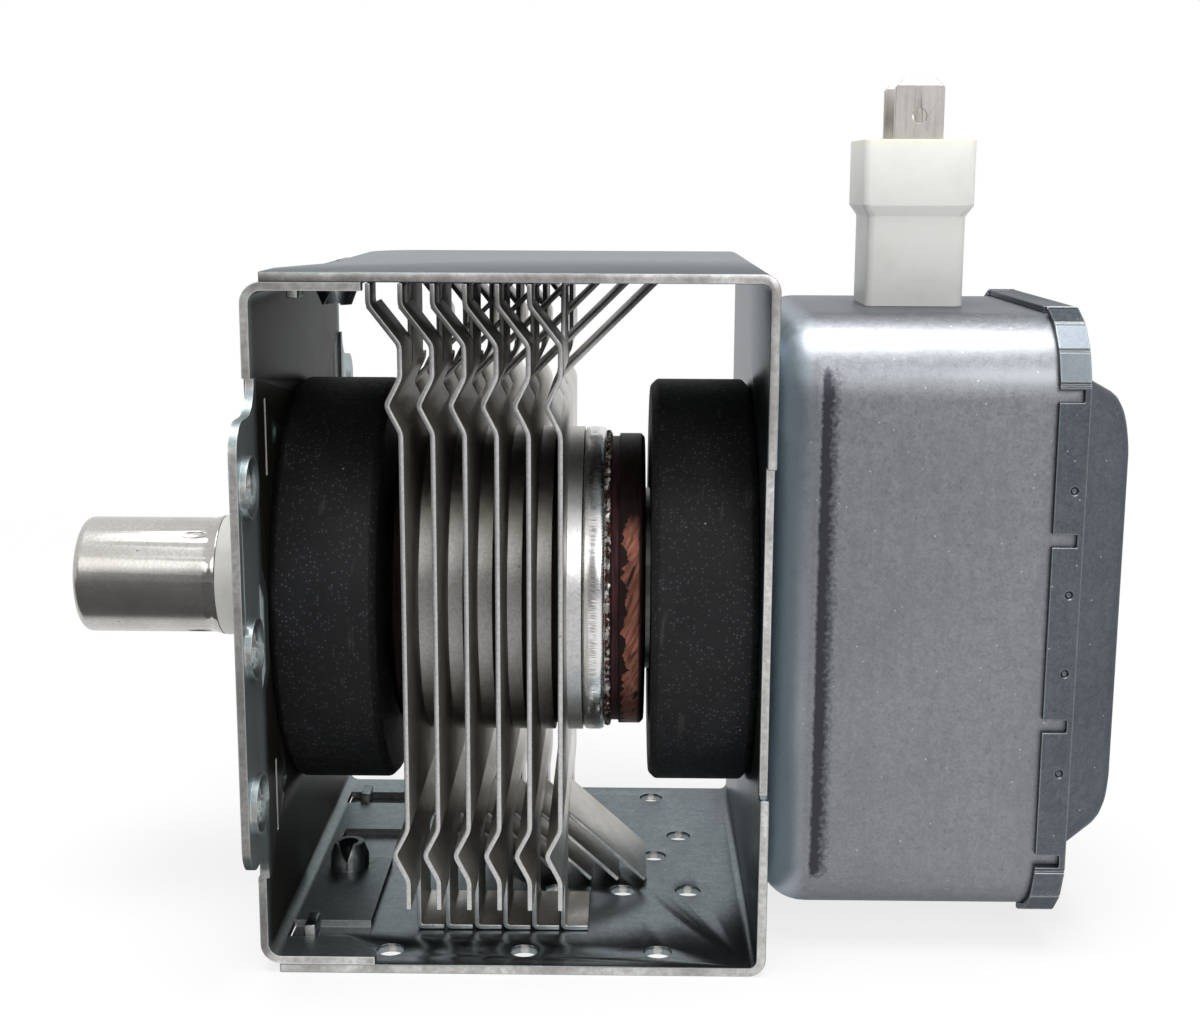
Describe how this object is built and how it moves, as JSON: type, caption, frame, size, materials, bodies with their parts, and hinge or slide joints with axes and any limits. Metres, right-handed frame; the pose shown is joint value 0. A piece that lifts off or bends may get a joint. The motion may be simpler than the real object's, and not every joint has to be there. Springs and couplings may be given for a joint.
{
  "type": "magnetron",
  "caption": "Microwave-oven magnetron: capped antenna, ring magnets and cooling fins in a folded steel yoke, with a crimped filter box carrying blade terminals.",
  "frame": {"origin": "on the tube axis, in the plane of the outer face of the mounting ears", "axes": "+X runs along the tube from the antenna to the filter box, +Z points the way the blade terminals stand, and the part rests on the lower leg of its yoke"},
  "size_m": [0.1382, 0.0866, 0.1107],
  "materials": {
    "galvanised_steel": "zinc-coated sheet with a faint spangle",
    "mesh_wire": "knitted wire",
    "ferrite": "matte black ferrite",
    "copper": "oxidised copper",
    "soft_iron": "plain iron",
    "seal_alloy": "plated sheet",
    "alumina": "white alumina",
    "cap_steel": "satin stainless steel",
    "tungsten": "dark refractory metal",
    "fin_aluminium": "bright rolled sheet",
    "insulator_white": "white moulded plastic",
    "case_plastic": "dark moulded plastic",
    "blade_tin": "tin-plated blade"
  },
  "bodies": {
    "root": {"yoke_frame": "galvanised_steel", "mounting_plate": "galvanised_steel", "filter_box": "galvanised_steel", "filter_lid": "galvanised_steel", "rf_gasket": "mesh_wire", "output_magnet": "ferrite", "input_magnet": "ferrite", "choke_core_1": "ferrite", "choke_core_2": "ferrite", "anode_cylinder": "copper", "vane_1": "copper", "vane_2": "copper", "vane_3": "copper", "vane_4": "copper", "vane_5": "copper", "vane_6": "copper", "vane_7": "copper", "vane_8": "copper", "vane_9": "copper", "vane_10": "copper", "output_strap_small": "copper", "output_strap_large": "copper", "input_strap_small": "copper", "input_strap_large": "copper", "exhaust_tube": "copper", "antenna_lead": "copper", "choke_coil_1": "copper", "choke_coil_2": "copper", "output_pole_piece": "soft_iron", "input_pole_piece": "soft_iron", "output_seal": "seal_alloy", "input_seal": "seal_alloy", "stem_terminal_1": "seal_alloy", "stem_terminal_2": "seal_alloy", "earth_plate": "seal_alloy", "output_ceramic": "alumina", "stem_ceramic": "alumina", "antenna_cap": "cap_steel", "filament": "tungsten", "output_end_hat": "tungsten", "input_end_hat": "tungsten", "centre_lead": "tungsten", "side_lead": "tungsten", "cooling_fin_1": "fin_aluminium", "cooling_fin_2": "fin_aluminium", "cooling_fin_3": "fin_aluminium", "cooling_fin_4": "fin_aluminium", "cooling_fin_5": "fin_aluminium", "cooling_fin_6": "fin_aluminium", "fin_stop_ring": "fin_aluminium", "terminal_insulator": "insulator_white", "capacitor_case": "case_plastic", "terminal_blade_1": "blade_tin", "terminal_blade_2": "blade_tin"}
  },
  "joints": []
}
